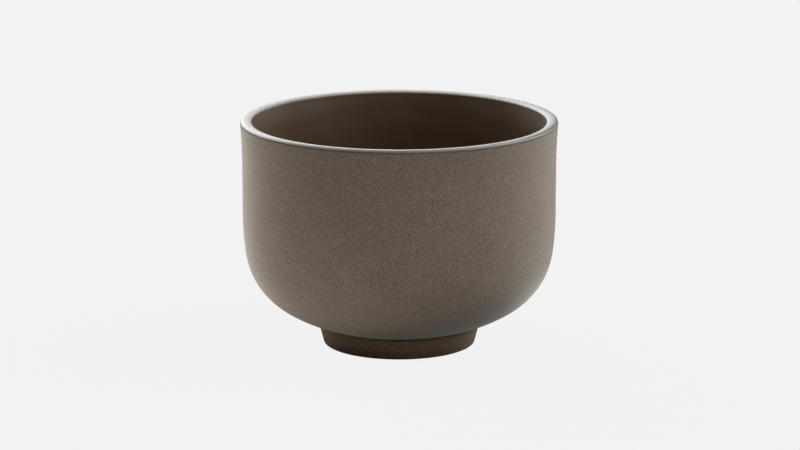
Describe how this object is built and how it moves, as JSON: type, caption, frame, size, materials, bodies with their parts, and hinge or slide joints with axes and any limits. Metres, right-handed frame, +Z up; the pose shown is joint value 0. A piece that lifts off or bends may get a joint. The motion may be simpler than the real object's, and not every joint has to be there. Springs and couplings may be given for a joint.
{
  "type": "stoneware cup",
  "caption": "Handleless stoneware cup with straight walls, a rounded belly, a luted foot ring, a dark glazed inside and a pale glazed lip.",
  "frame": {"origin": "on the cup's axis, in the plane of the table that the foot ring stands on", "axes": "+Z up along the cup's axis, out of its mouth; the cup is round, so X and Y are any two directions square to it"},
  "size_m": [0.09, 0.09, 0.0649],
  "materials": {
    "shell_clay": "matte",
    "foot_clay": "matte",
    "joint_slip": "matte",
    "liner_glaze": "satin",
    "lip_glaze": "satin"
  },
  "bodies": {
    "root": {"shell": "shell_clay", "foot_ring": "foot_clay", "foot_slip": "joint_slip", "liner_glaze": "liner_glaze", "lip_glaze": "lip_glaze"}
  },
  "joints": []
}
